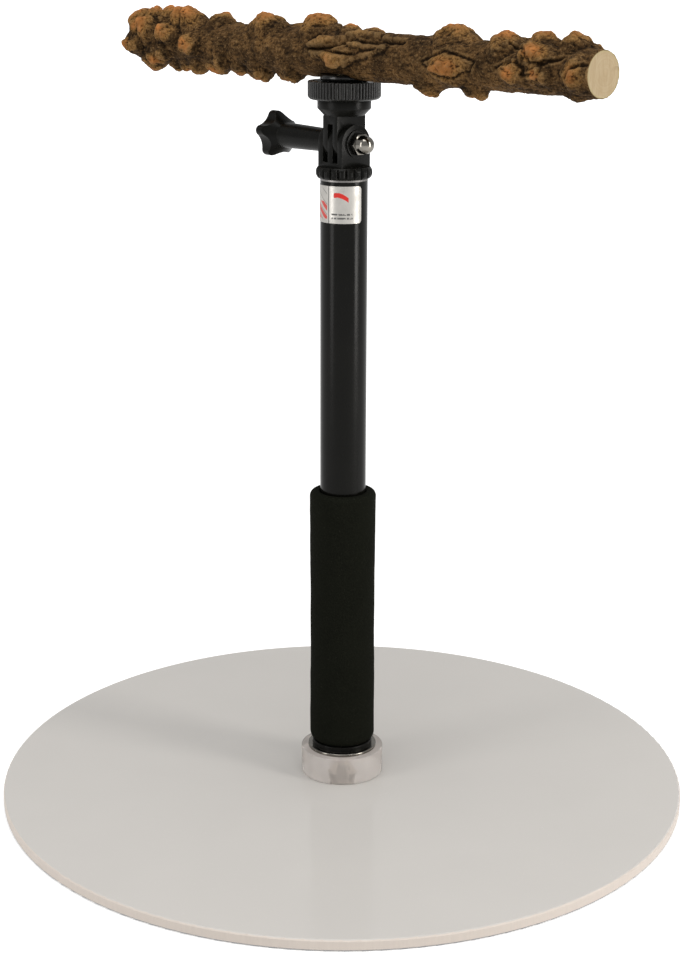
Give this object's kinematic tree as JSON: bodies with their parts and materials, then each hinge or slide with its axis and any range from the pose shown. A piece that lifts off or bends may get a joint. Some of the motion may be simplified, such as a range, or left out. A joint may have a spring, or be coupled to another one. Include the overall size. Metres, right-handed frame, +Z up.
{
  "type": "parrot play stand",
  "caption": "Table-top bird perch stand: round base plate, telescopic pole with foam grip, tilting head with knurled lock wheel, and a level thorny branch on top.",
  "frame": {"origin": "centre of the base plate's underside, on the floor", "axes": "+Z up along the pole; +X along the branch towards its smooth cut end, and along the tilt screw towards its cap nut"},
  "size_m": [0.3, 0.3, 0.3333],
  "materials": {
    "white_acrylic": "gloss",
    "clear_acrylic": "clear",
    "zinc_steel": "zinc plated",
    "polished_steel": "polished",
    "black_plastic": "semi-gloss moulded",
    "brass_insert": "turned",
    "black_tube": "satin",
    "bare_aluminium": "satin",
    "foam": "matte closed-cell foam",
    "foil": "printed foil",
    "black_rubber": "glossy",
    "branch_wood": "natural bark"
  },
  "bodies": {
    "stand": {"base_plate": "white_acrylic", "clear_boss": "clear_acrylic", "base_screw": "zinc_steel", "steel_washer": "polished_steel", "pole_end_plug": "black_plastic", "plug_insert": "brass_insert", "outer_tube": "black_tube", "tube_end_ring": "bare_aluminium", "outer_guide_bush": "black_plastic", "foam_grip": "foam", "info_sticker": "foil"},
    "mid_lock": {"mid_lock_sleeve": "black_plastic"},
    "mid_stage": {"mid_tube": "bare_aluminium", "mid_lock_core": "black_plastic", "mid_guide_bush": "black_plastic"},
    "top_lock": {"top_lock_sleeve": "black_plastic"},
    "top_stage": {"inner_tube": "bare_aluminium", "top_lock_core": "black_plastic", "twist_collar": "black_plastic", "lower_knuckle": "black_plastic", "acorn_nut": "polished_steel"},
    "thumb_screw": {"clamp_screw": "zinc_steel", "star_knob": "black_plastic"},
    "head": {"upper_knuckle": "black_plastic", "mount_stud": "zinc_steel"},
    "wheel": {"lock_wheel": "black_plastic", "wheel_insert": "brass_insert", "rubber_pad": "black_rubber"},
    "perch": {"perch_branch": "branch_wood", "perch_insert": "brass_insert"}
  },
  "joints": [
    {"name": "mid_slide", "type": "slide", "parent": "stand", "child": "mid_lock", "axis": [0, 0, 1], "range_m": [0, 0.19]},
    {"name": "mid_twist", "type": "hinge", "parent": "mid_lock", "child": "mid_stage", "pos_m": [0, 0, 0.05], "axis": [0, 0, 1], "range_deg": [0, 180]},
    {"name": "top_slide", "type": "slide", "parent": "mid_stage", "child": "top_lock", "axis": [0, 0, 1], "range_m": [0, 0.165]},
    {"name": "top_twist", "type": "hinge", "parent": "top_lock", "child": "top_stage", "pos_m": [0, 0, 0.075], "axis": [0, 0, 1], "range_deg": [0, 180]},
    {"name": "knob_turn", "type": "hinge", "parent": "top_stage", "child": "thumb_screw", "pos_m": [0, 0, 0.2825], "axis": [-1, 0, 0], "range_deg": [0, 360]},
    {"name": "head_tilt", "type": "hinge", "parent": "top_stage", "child": "head", "pos_m": [0, 0, 0.2825], "axis": [1, 0, 0], "range_deg": [-90, 90]},
    {"name": "wheel_turn", "type": "hinge", "parent": "head", "child": "wheel", "pos_m": [0, 0, 0.303], "axis": [0, 0, -1], "range_deg": [0, 270]},
    {"name": "perch_swivel", "type": "hinge", "parent": "head", "child": "perch", "pos_m": [0, 0, 0.312], "axis": [0, 0, 1], "range_deg": [-180, 180]}
  ]
}
